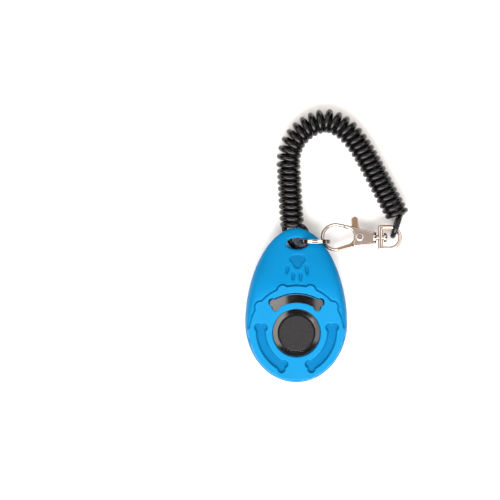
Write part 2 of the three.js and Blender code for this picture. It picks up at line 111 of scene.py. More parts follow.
# Split ring, clasp and swivel eye
RING_CENTRE, RING_INNER, RING_OUTER, RING_WIDTH = (7.9, 38.2, 7.7), 5.75, 6.75, 1.4
CLASP_CENTRE = (26.9, 39.9, 6.0)
HOOK_CENTRE, HOOK_OUTER, HOOK_INNER = (-10.0, 0.2), (6.4, 6.1), (5.0, 4.6)
HOOK_THICKNESS, BODY_THICKNESS, SLOT_HALF = 2.4, 3.8, 1.05
RIVET_Y = 0.3
EYE_X, EYE_HALF, EYE_BAR, EYE_BASE, EYE_STRAIGHT = 34.6, 5.3, 1.6, 2.1, 4.9

# Cord: one length from the case loop through the coil to the clasp loop
CORD_RADIUS, COIL_RADIUS, COIL_Z = 1.13, 4.08, 5.35
LEG_PITCH, ARCH_PITCH = 2.51, 3.15
COIL_START_Y = 44.6  # the first turn closes up to the case's tip
COIL_ROUTE = ((-1.5, 45.4), (-2.0, 50.2), (-3.0, 67.3), (-3.2, 72.7), (-1.8, 78.9), (2.0, 84.3),
              (7.4, 87.95), (13.2, 89.3), (19.3, 86.85), (24.1, 82.4), (28.9, 75.5), (34.1, 66.0),
              (38.8, 57.2), (43.2, 49.1))
CASE_LOOP = ((-1.8, 50.0, 4.7), (-1.9, 47.6, 4.0), (-2.9, 45.7, 3.6), (-4.3, 45.1, 4.2), (-5.3, 44.4, 5.2),
             (-4.6, 42.4, 4.9), (-3.4, 40.2, 4.6), (-2.5, 38.2, 4.2), (-1.4, 36.4, 3.5),
             (0.3, 35.2, 3.1), (2.3, 34.7, 3.0), (4.1, 34.9, 3.1), (5.2, 36.0, 3.7), (5.6, 37.6, 4.2),
             (5.5, 39.4, 4.5), (5.0, 41.2, 4.7), (4.2, 43.0, 5.0), (3.2, 44.4, 5.2))
CLASP_LOOP_START, CLASP_LOOP_ALONG = (43.5, 48.1), (-0.32, -0.947)
CLASP_LOOP_REACH, CLASP_LOOP_Z, CLASP_LOOP_RADIUS = 8.2, 5.6, 4.05
LOOP_POINTS = 64  # points of the cord's path in each end loop, where its bends are eased


# ---- Meshes ----

def make_object(name, vertices, faces, sharp_angle=35.0):
    """A smooth-shaded mesh from millimetre points, with its faces turned outward."""
    mesh = bpy.data.meshes.new(name)
    mesh.from_pydata((np.asarray(vertices) * MM).tolist(), [], [list(map(int, f)) for f in faces])
    work = bmesh.new()
    work.from_mesh(mesh)
    bmesh.ops.recalc_face_normals(work, faces=work.faces)
    work.to_mesh(mesh)
    work.free()
    mesh.polygons.foreach_set("use_smooth", [True] * len(mesh.polygons))
    mesh.set_sharp_from_angle(angle=math.radians(sharp_angle))
    return add_object(name, mesh)


def add_object(name, data):
    """A new object in the scene that holds a mesh, a light or a camera."""
    made = bpy.data.objects.new(name, data)
    bpy.context.scene.collection.objects.link(made)
    return made


def strip(low_ring, high_ring):
    """Quads between two closed rings of vertex numbers."""
    return list(zip(low_ring, low_ring[1:] + low_ring[:1], high_ring[1:] + high_ring[:1], high_ring))


def lathe(name, profile, centre=(0, 0, 0), axis="z", segments=96, sharp_angle=35.0):
    """A profile of (radius, height) points turned about an axis through centre.

    It starts and ends on the axis, or closes on itself."""
    vertices, rings = [], []
    turns = np.linspace(0, 2 * math.pi, segments, endpoint=False)
    for radius, height in profile:
        if radius < 1e-9:
            rings.append([len(vertices)] * segments)
            vertices.append((0.0, 0.0, height))
            continue
        rings.append(list(range(len(vertices), len(vertices) + segments)))
        vertices += [(radius * math.cos(t), radius * math.sin(t), height) for t in turns]
    faces = []
    pairs = list(zip(rings, rings[1:]))
    if profile[0][0] > 1e-9:
        pairs.append((rings[-1], rings[0]))
    for low, high in pairs:
        for quad in strip(low, high):
            corners = list(dict.fromkeys(quad))
            if len(corners) > 2:
                faces.append(corners)
    order = {"z": [0, 1, 2], "x": [2, 0, 1]}[axis]
    return make_object(name, np.array(vertices)[:, order] + np.array(centre), faces, sharp_angle)


def directions(angles):
    """Unit (x, y) vectors, one to a row."""
    return np.stack([np.cos(angles), np.sin(angles)], 1)


def distances_along(line):
    return np.concatenate([[0], np.cumsum(np.linalg.norm(np.diff(line, axis=0), axis=1))])


def tangents_along(path):
    tangents = np.gradient(path, axis=0)
    return tangents / np.linalg.norm(tangents, axis=1)[:, None]


def normals_along(path):
    """Two normals at each point of a path, turned as little as possible."""
    tangents = tangents_along(path)
    side = np.cross(tangents[0], (0.0, 0.0, 1.0))
    if np.linalg.norm(side) < 0.1:
        side = np.cross(tangents[0], (1.0, 0.0, 0.0))
    sides = []
    for tangent in tangents:
        side = side - tangent * side.dot(tangent)
        side /= np.linalg.norm(side)
        sides.append(side)
    return np.array(sides), np.cross(tangents, sides)


def sweep(name, path, section, sharp_angle=50.0):
    """A section of (side, up) points carried along an open path, with closed ends."""
    sides, ups = normals_along(path)
    points = path[:, None] + section[None, :, :1] * sides[:, None] + section[None, :, 1:] * ups[:, None]
    count = len(section)
    rings = [list(range(i * count, (i + 1) * count)) for i in range(len(path))]
    faces = [quad for low, high in zip(rings, rings[1:]) for quad in strip(low, high)]
    vertices = list(points.reshape(-1, 3))
    for ring, end in ((rings[0], path[0]), (rings[-1], path[-1])):
        vertices.append(end)
        faces += [(ring[i], ring[(i + 1) % count], len(vertices) - 1) for i in range(count)]
    return make_object(name, vertices, faces, sharp_angle)


def circle_section(radius, count):
    return radius * directions(np.linspace(0, 2 * math.pi, count, endpoint=False))


def rounded_section(width, height, corner):
    """A rectangle with rounded corners, as (side, up) points."""
    points = []
    for quarter, (x, y) in enumerate(((1, 1), (-1, 1), (-1, -1), (1, -1))):
        middle = (x * (width / 2 - corner), y * (height / 2 - corner))
        points += arc(middle, (corner, corner), 90 * quarter, 90 * quarter + 90, 5)
    return np.array(points)


def smooth_path(points, spacing):
    """Evenly spaced points on a centripetal Catmull-Rom curve through the given ones."""
    points = np.asarray(points, float)
    control = np.vstack([2 * points[0] - points[1], points, 2 * points[-1] - points[-2]])
    dense = []
    for four in zip(control, control[1:], control[2:], control[3:]):
        knots = np.cumsum([0.0] + [np.linalg.norm(b - a) ** 0.5 for a, b in zip(four, four[1:])])
        t = np.linspace(knots[1], knots[2], 24, endpoint=False)[:, None]

        def between(a, b, start, end):
            return ((knots[end] - t) * a + (t - knots[start]) * b) / (knots[end] - knots[start])
        first, second, third = (between(four[k], four[k + 1], k, k + 1) for k in range(3))
        dense.append(between(between(first, second, 0, 2), between(second, third, 1, 3), 1, 2))
    return resample(np.vstack(dense + [points[-1:]]), spacing, closed=False)


def resample(line, spacing, closed=True):
    """Evenly spaced points on a polyline."""
    line = np.asarray(line, float)
    if closed:
        line = np.vstack([line, line[:1]])
    along = distances_along(line)
    count = max(8, int(round(along[-1] / spacing)))
    marks = np.linspace(0, along[-1], count + 1)
    if closed:
        marks = marks[:-1]
    return np.stack([np.interp(marks, along, line[:, k]) for k in range(line.shape[1])], 1)


def shade_flat_faces(mesh):
    """Smooth shading, but level faces stay flat right up to their edges."""
    mesh.set_sharp_from_angle(angle=math.radians(35))
    mesh.polygons.foreach_set("use_smooth", [abs(face.normal.z) < 0.9999 for face in mesh.polygons])


def plate(name, outline, thickness, bevel, centre, steps, hole=None):
    """A closed outline in the XY plane as a plate with rounded edges, with one hole if asked for."""
    work = bmesh.new()
    levels = [[[work.verts.new(((Vector((x, y, z)) + Vector(centre)) * MM)) for x, y in loop]
               for loop in ((outline,) if hole is None else (outline, hole))]
              for z in (-thickness / 2, thickness / 2)]
    for low, high in zip(*levels):
        for corners in strip(low, high):
            work.faces.new(corners)
    for level in levels:
        if hole is None:
            work.faces.new(level[0])
        else:
            for corners in strip(*level):
                work.faces.new(corners)
    bmesh.ops.recalc_face_normals(work, faces=work.faces)
    rims = [e for e in work.edges if len(e.link_faces) == 2 and e.calc_face_angle() > 0.7
            and abs(e.verts[0].co.z - e.verts[1].co.z) < 1e-7]
    bmesh.ops.bevel(work, geom=rims, offset=bevel * MM, segments=steps, profile=0.5, affect="EDGES",
                    clamp_overlap=True)
    bmesh.ops.recalc_face_normals(work, faces=work.faces)
    mesh = bpy.data.meshes.new(name)
    work.to_mesh(mesh)
    work.free()
    shade_flat_faces(mesh)
    return add_object(name, mesh)


def by_angle(loop, middle, angles):
    """A loop's points in the given directions from a middle."""
    x, y = (resample(loop, 0.05) - middle).T
    reach = np.interp(angles, np.arctan2(y, x), np.hypot(x, y), period=2 * math.pi)
    return reach[:, None] * directions(angles) + middle


def arc(centre, radii, start, end, count):
    """Points on an ellipse's arc, from and to angles in degrees."""
    points = np.array(centre) + np.array(radii) * directions(np.radians(np.linspace(start, end, count)))
    return [tuple(point) for point in points.tolist()]


def join(name, objects):
    """Several meshes as one object. Nothing is welded."""
    vertices, faces = [], []
    for item in objects:
        start, mesh = len(vertices), item.data
        vertices += [v.co / MM for v in mesh.vertices]
        faces += [[start + i for i in p.vertices] for p in mesh.polygons]
        bpy.data.objects.remove(item)
        bpy.data.meshes.remove(mesh)
    joined = make_object(name, vertices, faces)
    shade_flat_faces(joined.data)
    return joined


def cut(target, tool):
    """Subtracts a closed mesh from another, and removes it."""
    modifier = target.modifiers.new("cut", "BOOLEAN")
    modifier.operation = "DIFFERENCE"
    modifier.solver = "EXACT"
    modifier.object = tool
    bpy.context.view_layer.update()
    mesh = bpy.data.meshes.new_from_object(target.evaluated_get(bpy.context.evaluated_depsgraph_get()))
    target.modifiers.clear()
    target.data = mesh
    shade_flat_faces(mesh)
    bpy.data.objects.remove(tool)
    return target


def block(name, low, high):
    corners = [(x, y, z) for x in (low[0], high[0]) for y in (low[1], high[1]) for z in (low[2], high[2])]
    faces = ((0, 1, 3, 2), (4, 6, 7, 5), (0, 4, 5, 1), (2, 3, 7, 6), (0, 2, 6, 4), (1, 5, 7, 3))
    return make_object(name, corners, faces)


# ---- Fields that describe the case's outlines ----

def smoothstep(t):
    t = np.clip(t, 0, 1)
    return t * t * (3 - 2 * t)


def soft_min(a, b, width):
    """The smaller of two distances, with the corner between them rounded."""
    h = np.clip(0.5 + 0.5 * (b - a) / width, 0, 1)
    return b + (a - b) * h - width * h * (1 - h)


def outline_points(count):
    """Points on the case's outline, counter-clockwise from the widest place on +X."""
    t = np.linspace(0, math.pi / 2, count // 4, endpoint=False)
    back = math.pi / 2 - t
    rise, drop = TIP_Y - WIDEST_Y, WIDEST_Y - BOTTOM_Y
    quarters = [(side * HALF_WIDTH * np.cos(a) ** SIDE_POWER, WIDEST_Y + rise * np.sin(a) ** TIP_POWER)
                for side, a in ((1, t), (-1, back))]
    quarters += [(side * HALF_WIDTH * np.cos(a), WIDEST_Y - drop * np.sin(a))
                 for side, a in ((-1, t), (1, back))]
    return np.hstack(quarters).T


outline_x, outline_y = outline_points(4000).T
outline_angles = np.arctan2(outline_y, outline_x)
outline_radii = np.hypot(outline_x, outline_y)


def rim_radius(angle):
    """Distance from the button's axis to the outline, in a direction."""
    return np.interp(angle, outline_angles, outline_radii, period=2 * math.pi)


def tip_share(angle):
    """0 round the button and 1 at the tip, for the rim in a direction."""
    return smoothstep((rim_radius(angle) * np.sin(angle) - TIP_FROM_Y) / TIP_LENGTH)


def rim_power(angle):
    """How tight the case's rounded edge is."""
    return SIDE_ROUNDING + (TIP_ROUNDING - SIDE_ROUNDING) * tip_share(angle)


def ring_width(angle):
    return SIDE_RING + (TIP_RING - SIDE_RING) * tip_share(angle)


def crown_height(y):
    """Height of the dome's ridge over the parting plane."""
    way = np.clip((y - FALL_FROM_Y) / (FALL_TO_Y - FALL_FROM_Y), 0, 1)
    return TIP_HEIGHT + (SHOULDER - TIP_HEIGHT) * (1 + np.cos(math.pi * way)) / 2


def domed(x, y, inset=0.0, drop=0.0):
    """Height of the case's dome over the parting plane."""
    angle = np.arctan2(y, x)
    share = np.clip(np.hypot(x, y) / (rim_radius(angle) - inset), 0, 1)
    return (crown_height(y) - drop) * (1 - share ** rim_power(angle)) ** (1 / DOME_POWER)


def domed_inside(x, y):
    """Height of the inner surface: the walled dome, with a level rim and a solid tip."""
    in_wall = rim_radius(np.arctan2(y, x)) - np.hypot(x, y) < WALL + 0.1
    return np.where(in_wall | (y > SOLID_TIP_Y), 0, domed(x, y, WALL, ROOF))


def plateau_field(x, y, knobs=True, radius=PLATEAU_RADIUS):
    """Distance outside the plateau's edge, which is a ring of bones laid end to end."""
    angle = np.arctan2(y, x)
    reach = np.full(np.shape(angle), radius, float)
    if knobs:
        step = 2 * math.pi / KNOB_COUNT
        off = (angle - math.pi / 2) % step - step / 2
        centre = KNOB_REACH - KNOB_RADIUS
        inside = np.clip(KNOB_RADIUS ** 2 - (centre * np.sin(off)) ** 2, 0, None)
        knob = np.where(inside > 0, centre * np.cos(off) + np.sqrt(inside), 0)
        reach = -soft_min(-reach, -knob, KNOB_BLEND)
    reach = soft_min(reach, rim_radius(angle) - PLATEAU_MARGIN, RIM_BLEND)
    return np.hypot(x, y) - reach


def bone_field(angle_from_y, extra=0.0):
    """Distance outside one curved bone centred at an angle from +Y, widened by some extra."""
    middle = math.radians(90 + angle_from_y)
    half = math.radians(BONE_HALF_ANGLE)
    arc_x, arc_y = -BONE_SET_BACK * math.cos(middle), -BONE_SET_BACK * math.sin(middle)

    def field(x, y):
        angle = (np.arctan2(y - arc_y, x - arc_x) - middle + math.pi) % (2 * math.pi) - math.pi
        reach = np.hypot(x - arc_x, y - arc_y)
        result = np.maximum(np.abs(reach - BONE_RADIUS) - BONE_WIDTH / 2,
                            (np.abs(angle) - half) * BONE_RADIUS)
        for end in (-half, half):
            for radius in (BONE_RADIUS - LOBE_SPREAD, BONE_RADIUS + LOBE_SPREAD):
                lobe_x = arc_x + radius * math.cos(middle + end)
                lobe_y = arc_y + radius * math.sin(middle + end)
                result = soft_min(result, np.hypot(x - lobe_x, y - lobe_y) - LOBE_RADIUS, LOBE_BLEND)
        return result - extra
    return field


def ellipse_field(cx, cy, half_x, half_y):
    """Nearly the distance outside an ellipse."""
    def field(x, y):
        u, v = (x - cx) / half_x, (y - cy) / half_y
        size = np.hypot(u, v)
        slope = np.hypot(u / half_x, v / half_y) / np.maximum(size, 1e-6)
        return (size - 1) / np.maximum(slope, 1e-6)
    return field


def toe_field(cx, cy, half_x, half_y, turn):
    """An ellipse's field that narrows evenly towards its middle."""
    c, s = math.cos(math.radians(turn)), math.sin(math.radians(turn))

    def field(x, y):
        u = (c * (x - cx) + s * (y - cy)) / half_x
        v = (-s * (x - cx) + c * (y - cy)) / half_y
        return (np.hypot(u, v) - 1) * half_x
    return field


def pad_field(x, y):
    """Distance outside the paw's pad, a rounded triangle."""
    result = None
    for lobe_x, lobe_y, radius in PAD_LOBES:
        lobe = np.hypot(x - PAD_CENTRE[0] - lobe_x, y - PAD_CENTRE[1] - lobe_y) - radius
        result = lobe if result is None else soft_min(result, lobe, PAD_BLEND)
    return result + PAD_INSET


# ---- Domed shells ----

TRACE_STEP, RIM_RINGS = 0.12, 14
OUTER_GRID, INNER_GRID = 0.45, 1.6


class Feature:
    """A step, a recess or a hole in a domed surface, followed by rows of points along its edge."""

    def __init__(self, field, rows, spacing, box, hole=False):
        self.field, self.rows, self.hole = field, rows, hole
        loop = resample(trace(field, box), spacing)
        self.loops = [spread(field, settle(field, loop, level), level) for level in rows]


def trace(field, box):
    """The zero line of a field inside a box, as an ordered loop of points."""
    xs, ys = (np.arange(box[k], box[k + 2], TRACE_STEP) for k in (0, 1))
    value = field(*np.meshgrid(xs, ys, indexing="ij"))
    inside = value < 0

    def crossing(a, b):
        share = value[a] / (value[a] - value[b])
        return (xs[a[0]] + share * (xs[b[0]] - xs[a[0]]), ys[a[1]] + share * (ys[b[1]] - ys[a[1]]))

    mixed = inside[:-1, :-1].astype(int) + inside[1:, :-1] + inside[:-1, 1:] + inside[1:, 1:]
    links = {}
    for i, j in np.argwhere((mixed > 0) & (mixed < 4)):
        corners = [(i, j), (i + 1, j), (i + 1, j + 1), (i, j + 1)]
        cuts = [tuple(sorted((a, b))) for a, b in zip(corners, corners[1:] + corners[:1])
                if inside[a] != inside[b]]
        for a, b in zip(cuts[::2], cuts[1::2]):
            links.setdefault(a, []).append(b)
            links.setdefault(b, []).append(a)
    start = next(iter(links))
    loop, before, here = [start], None, start
    while len(loop) == 1 or here != start:
        before, here = here, next(k for k in links[here] if k != before)
        loop.append(here)
    return np.array([crossing(a, b) for a, b in loop[:-1]])


def settle(field, points, level, rounds=6, nudge=1e-3):
    """Points moved along a field's slope until the field has the given value there."""
    points = points.copy()
    for _ in range(rounds):
        x, y = points[:, 0], points[:, 1]
        gap = field(x, y) - level
        rise = field(x + nudge, y) - field(x - nudge, y), field(x, y + nudge) - field(x, y - nudge)
        slope = np.stack(rise, 1) / (2 * nudge)
        points -= slope * (gap / np.maximum((slope ** 2).sum(1), 1e-6))[:, None]
    return points


def spread(field, points, level):
    """Points slid along a field's level line until none are crowded or crossed."""
    for _ in range(14):
        points = 0.5 * points + 0.25 * (np.roll(points, 1, 0) + np.roll(points, -1, 0))
        points = settle(field, points, level, 2)
    return points


class Surface:
    """Collects vertices and faces of a shell."""

    def __init__(self):
        self.points, self.faces = [], []

    def add(self, flat, height):
        start = len(self.points)
        height = np.broadcast_to(height, (len(flat),))
        self.points += [(x, y, z) for (x, y), z in zip(flat, height)]
        return list(range(start, len(self.points)))

    def fill(self, loops, extra, height, lines=()):
        """Triangles between nested loops of vertex numbers, through more points and closed lines."""
        numbers = [n for loop in (*loops, *lines) for n in loop]
        flat = [Vector(self.points[n][:2]) for n in numbers]
        edges, start = [], 0
        for loop in (*loops, *lines):
            edges += [(start + i, start + (i + 1) % len(loop)) for i in range(len(loop))]
            start += len(loop)
        numbers += self.add(extra, height(extra[:, 0], extra[:, 1]))
        flat += [Vector(p) for p in extra]
        found, _, triangles, origins, _, _ = delaunay_2d_cdt(flat, edges, [], 0, 1e-7)
        corners = np.array([list(t) for t in triangles])
        middle = np.array([list(v) for v in found])[corners].mean(1)
        wanted = np.zeros(len(middle), bool)
        for loop in loops:
            wanted ^= enclosed(middle, np.array([self.points[n][:2] for n in loop]))
        for triangle in corners[wanted]:
            if all(origins[i] for i in triangle):
                self.faces.append([numbers[origins[i][0]] for i in triangle])


def enclosed(points, loop):
    """True for each point inside a closed loop."""
    x, y = points.T
    inside = np.zeros(len(points), bool)
    for (ax, ay), (bx, by) in zip(loop, np.roll(loop, -1, 0)):
        if ay != by:
            inside ^= ((ay > y) != (by > y)) & (x < (bx - ax) * (y - ay) / (by - ay) + ax)
    return inside


def domed_shell(features, top, wall_bottoms):
    """A case half: its outer surface over the features, hole walls, the rim and a plain inner surface.

    top gives heights over the rim; wall_bottoms has the height of each hole's lower end, in turn."""
    surface = Surface()
    angles = np.sort(np.arctan2(*resample(outline_points(1600), 0.4).T[::-1]))
    reach, power = rim_radius(angles), rim_power(angles)
    direction = directions(angles)
    start_angle = np.arccos(((reach - ring_width(angles)) / reach) ** (power / 2))
    rows = []
    for left in np.linspace(1, 0, RIM_RINGS + 1):
        flat = direction * (np.cos(start_angle * left) ** (2 / power) * reach)[:, None]
        height = crown_height(flat[:, 1]) * np.sin(start_angle * left) ** (2 / DOME_POWER)
        if left == 1:
            height = top(flat[:, 0], flat[:, 1])
        rows.append(surface.add(flat, height if left else np.maximum(height, SEAM_CHAMFER)))
    seam = surface.add(direction * (reach - SEAM_CHAMFER)[:, None], 0.0)
    for low, high in zip(rows, rows[1:] + [seam]):
        surface.faces += strip(low, high)
    loops, hole_walls = [rows[0]], []
    for feature in features:
        own = [surface.add(loop, top(loop[:, 0], loop[:, 1])) for loop in feature.loops]
        for low, high in zip(own, own[1:]):
            surface.faces += strip(low, high)
        loops.append(own[-1])
        if feature.hole:
            hole_walls.append(own[0])
        else:
            loops.append(own[0])

    # Outside: points clear of the rim's rings and of every feature's rows and holes
    x, y, angle, distance = hex_grid(OUTER_GRID)
    clear = distance > ring_width(angle) + OUTER_GRID / 2
    for feature in features:
        value = feature.field(x, y)
        inside = value < feature.rows[0] - OUTER_GRID / 2
        clear &= (value > feature.rows[-1] + OUTER_GRID / 2) | (inside & (not feature.hole))
    surface.fill(loops, np.stack([x, y], 1)[clear], top)

    # Inside: hole walls, then one plain sheet that joins their lower ends to the rim
    inner_loops = [seam]
    for upper, bottom in zip(hole_walls, wall_bottoms):
        lower = surface.add([surface.points[n][:2] for n in upper], bottom)
        surface.faces += strip(upper, lower)
        inner_loops.append(lower)
    wall_rows = []
    for inset in (WALL, WALL + 0.3):
        flat = (direction * (reach - inset)[:, None])[::3]
        wall_rows.append(surface.add(flat, domed_inside(*flat.T)))
    x, y, angle, distance = hex_grid(INNER_GRID)
    clear = distance > WALL + INNER_GRID / 2
    for feature in features:
        if feature.hole:
            clear &= feature.field(x, y) > INNER_GRID / 4
    surface.fill(inner_loops, np.stack([x, y], 1)[clear], domed_inside, wall_rows)
    return surface


def hex_grid(spacing):
    """A staggered grid over the case: x, y, direction and distance inside the outline."""
    rows = []
    for k, y in enumerate(np.arange(CASE_BOX[1], CASE_BOX[3], spacing * 0.866)):
        xs = np.arange(CASE_BOX[0] + (k % 2) * spacing / 2, CASE_BOX[2], spacing)
        rows.append(np.stack([xs, np.full(len(xs), y)]))
    x, y = np.hstack(rows)
    angle = np.arctan2(y, x)
    return x, y, angle, rim_radius(angle) - np.hypot(x, y)


def fillet(distance, radius):
    """How far a surface has dropped at a distance from the edge of a hole with a rounded rim."""
    inward = np.clip(radius - distance, 0, radius)
    return radius - np.sqrt(radius ** 2 - inward ** 2)


def eye_feature(eye):
    return Feature(eye, (0.0, 0.08, 0.25, 0.55, EYE_FILLET), 0.25, (-6, 34, 6, 41), hole=True)


def front_cover():
    """The upper half, and the fields of its recesses."""
    rim_z = PARTING + PARTING_GAP / 2
    opening = ellipse_field(0, 0, OPENING_RADIUS, OPENING_RADIUS)
    slot = bone_field(BONE_ANGLES[0], SLOT_EXTRA)
    eye = ellipse_field(*EYE)
    blind = [bone_field(a) for a in BONE_ANGLES[1:]]
    prints = [(pad_field, PAD_DEPTH)] + [(toe_field(*toe), TOE_DEPTH) for toe in TOES]

    def top(x, y):
        beyond = plateau_field(x, y)
        height = domed(x, y) - STEP_GROOVE * np.exp(-(beyond / GROOVE_FROM_EDGE - 1) ** 2)
        raised = smoothstep(0.5 - beyond / (2 * STEP_HALF))
        height = height + (TOP_Z - rim_z - height) * raised
        for field in blind:
            height = height - BONE_DEPTH * smoothstep(0.5 - field(x, y) / 0.7)
        for field, depth in prints:
            height = height - depth * smoothstep(0.3 - field(x, y) / 0.6)
        return (height - fillet(opening(x, y), OPENING_FILLET) - fillet(slot(x, y), SLOT_FILLET)
                - fillet(eye(x, y), EYE_FILLET))

    features = [
        Feature(plateau_field, (-0.2, -0.1, 0.0, 0.1, 0.2, 0.32, 0.45, 0.56), 0.3, (-22, -22, 22, 22)),
        Feature(opening, (0.0, 0.04, 0.15, 0.3, OPENING_FILLET), 0.35, (-11, -11, 11, 11), hole=True),
        Feature(slot, (0.0, 0.04, 0.15, SLOT_FILLET), 0.22, (-14, 8, 14, 19), hole=True),
        eye_feature(eye),
    ]
    bone_rows = (-0.35, -0.24, -0.12, 0.0, 0.12, 0.24, 0.35)
    features += [Feature(field, bone_rows, 0.22, (-19, -19, 19, 10)) for field in blind]
    print_rows = (-0.42, -0.3, -0.18, -0.05, 0.07, 0.18)
    features += [Feature(field, print_rows, 0.2, (-7, 20, 8, 34)) for field, _ in prints]
    surface = domed_shell(features, top, (CEILING_Z - rim_z, CEILING_Z - rim_z, 0.0))
    points = np.array(surface.points) + (0, 0, rim_z)
    cover = make_object("front_cover_shell", points, surface.faces, 40)
    return cover, blind + [field for field, _ in prints]


def paint_recess_shade(cover, fields, material):
    """The floors of the recesses get a darker blue material: painted shade."""
    cover.data.materials.append(material)
    polygons = cover.data.polygons
    x, y = np.array([polygon.center[:2] for polygon in polygons]).T / MM
    sunk = np.minimum.reduce([field(x, y) for field in fields]) < RECESS_EDGE
    facing_up = np.array([polygon.normal.z for polygon in polygons]) > 0.2
    polygons.foreach_set("material_index", (sunk & facing_up).astype(int).tolist())


def back_cover():
    """The lower half, made upside down: a flat round back, the screw's counterbore and the eye."""
    rim_z = PARTING - PARTING_GAP / 2
    counterbore = ellipse_field(0, SCREW_Y, COUNTERBORE_RADIUS, COUNTERBORE_RADIUS)
    eye = ellipse_field(*EYE)
    edge, rim_fillet = 0.22, 0.3

    def disc(x, y):
        return plateau_field(x, y, False, BACK_PLATEAU_RADIUS)

    def top(x, y):
        height = domed(x, y)
        raised = smoothstep(0.5 - disc(x, y) / (2 * edge))
        height = height + (rim_z - height) * raised
        return height - fillet(counterbore(x, y), rim_fillet) - fillet(eye(x, y), EYE_FILLET)

    features = [
        Feature(disc, (-edge, -0.1, 0.0, 0.1, edge), 0.35, (-22, -22, 22, 22)),
        Feature(counterbore, (0.0, 0.06, rim_fillet), 0.25, (-4, 20, 4, 28), hole=True),
        eye_feature(eye),
    ]
    surface = domed_shell(features, top, (rim_z - SCREW_SEAT_Z, 0.0))
    points = np.array(surface.points) * (1, 1, -1) + (0, 0, rim_z)
    return make_object("back_cover_shell", points, surface.faces, 40)


# ---- Click mechanism ----

def click_dome():
    radii = np.linspace(DOME_HOLE, DOME_RADIUS, 40)
    middle = DOME_APEX_Z - DOME_DROP * (radii / DOME_RADIUS) ** 2
    upper = list(zip(radii, middle + DOME_THICKNESS / 2))
    lower = list(zip(radii, middle - DOME_THICKNESS / 2))
    return lathe("click_plate", upper + lower[::-1], segments=160)


def button_cap():
    """Flat textured top, a rounded shoulder and a straight skirt, on a post."""
    profile = [(0, POST_END_Z), (POST_RADIUS - 0.3, POST_END_Z), (POST_RADIUS, POST_END_Z + 0.3),
               (POST_RADIUS, BUTTON_UNDER_Z), (BUTTON_RADIUS - 0.5, BUTTON_UNDER_Z),
               (BUTTON_RADIUS, BUTTON_UNDER_Z + 0.4)]
    corner = 0.9
    for angle in np.radians(np.linspace(0, 90, 9)):
        profile.append((BUTTON_RADIUS - corner + corner * math.cos(angle),
                        BUTTON_TOP_Z - corner + corner * math.sin(angle)))
    profile += [(r, BUTTON_TOP_Z) for r in (6.8, 6.0, 4.0, 2.0, 0)]
    return lathe("button_top", profile, segments=128, sharp_angle=50)


def gloss_edge(button, material):
    """The cap's rounded shoulder and skirt are smooth, only its flat top is grained."""
    button.data.materials.append(material)
    flat, vertices = (BUTTON_TOP_Z - 0.01) * MM, button.data.vertices
    for polygon in button.data.polygons:
        lowest = min(vertices[v].co.z for v in polygon.vertices)
        polygon.material_index = int(lowest <= flat)


# ---- Ring and clasp ----

def split_ring():
    """Two turns of flat wire: the second lies beside the first, with a short step across."""
    turns, steps = 2.0, 220
    middle = (RING_INNER + RING_OUTER) / 2
    wire_width = RING_WIDTH / 2 - 0.08
    t = np.linspace(0, turns, steps)
    angle = 2 * math.pi * t + math.radians(200)
    shift = (smoothstep((t - 0.9) / 0.2) - 0.5) * (RING_WIDTH / 2)
    path = np.stack([middle * np.cos(angle), shift, middle * np.sin(angle)], 1) + np.array(RING_CENTRE)
    section = rounded_section(wire_width, RING_OUTER - RING_INNER - 0.04, 0.2)
    return sweep("key_ring", path, section[:, ::-1])


def hook_wire():
    """The hook's bend, from its nose round to the body, with a rounded section."""
    middle = [(out + inn) / 2 for out, inn in zip(HOOK_OUTER, HOOK_INNER)]
    bend = arc(HOOK_CENTRE, middle, 270, 90, 80)
    nose = [(HOOK_CENTRE[0] + 0.55, HOOK_CENTRE[1] - middle[1] + 0.12)]
    path = resample(nose + bend + [(-7.5, 5.15), (-5.6, 4.55), (-4.8, 4.25)], 0.2, closed=False)
    points = np.hstack([path, np.zeros((len(path), 1))]) + np.array(CLASP_CENTRE)
    wire = HOOK_OUTER[0] - HOOK_INNER[0]
    oval = circle_section(0.5, 24) * (wire, HOOK_THICKNESS)
    return sweep("hook_wire", points, oval)


def body_outline():
    bend = [(-2.9, -2.3), (-2.45, -1.2), (-2.25, 0.0), (-2.4, 1.4), (-2.9, 2.6), (-3.7, 3.5), (-5.0, 3.95)]
    return [(-6.8, 5.55), (-4.0, 5.0), (6.6, 2.1), (6.6, -2.7), (-2.9, -3.9)] + bend + [(-6.8, 4.5)]


def clasp_body():
    body = plate("body", body_outline(), BODY_THICKNESS, 0.5, CLASP_CENTRE, 6)
    slot = block("slot", (CLASP_CENTRE[0] - 4.5, 20, CLASP_CENTRE[2] - SLOT_HALF),
                 (CLASP_CENTRE[0] + 3.7, 60, CLASP_CENTRE[2] + SLOT_HALF))
    collar = lathe("collar", [(0, 5.5), (2.0, 5.5), (2.5, 5.75), (2.6, 6.0), (2.6, 6.3), (2.3, 6.45),
                              (2.3, 6.6), (2.45, 6.75), (2.3, 7.0), (0, 7.0)], CLASP_CENTRE, "x", 48)
    return join("clasp_hook", [hook_wire(), cut(body, slot), collar])


def clasp_gate():
    outline = [(-9.1, -5.6), (-3.0, -4.1), (0.4, -2.3)] + arc((0, RIVET_Y), (2.4, 2.4), -70, 70, 16)
    outline += [(-0.4, 4.6)] + arc((-2.05, 7.4), (1.45, 1.45), 0, 180, 20)
    outline += [(-3.4, 4.3), (-2.3, 1.2), (-2.6, -1.0), (-4.0, -2.4), (-9.5, -4.3)]
    centre = (CLASP_CENTRE[0], CLASP_CENTRE[1], CLASP_CENTRE[2] - 0.25)
    return plate("gate_lever", outline, 1.4, 0.38, centre, 5)


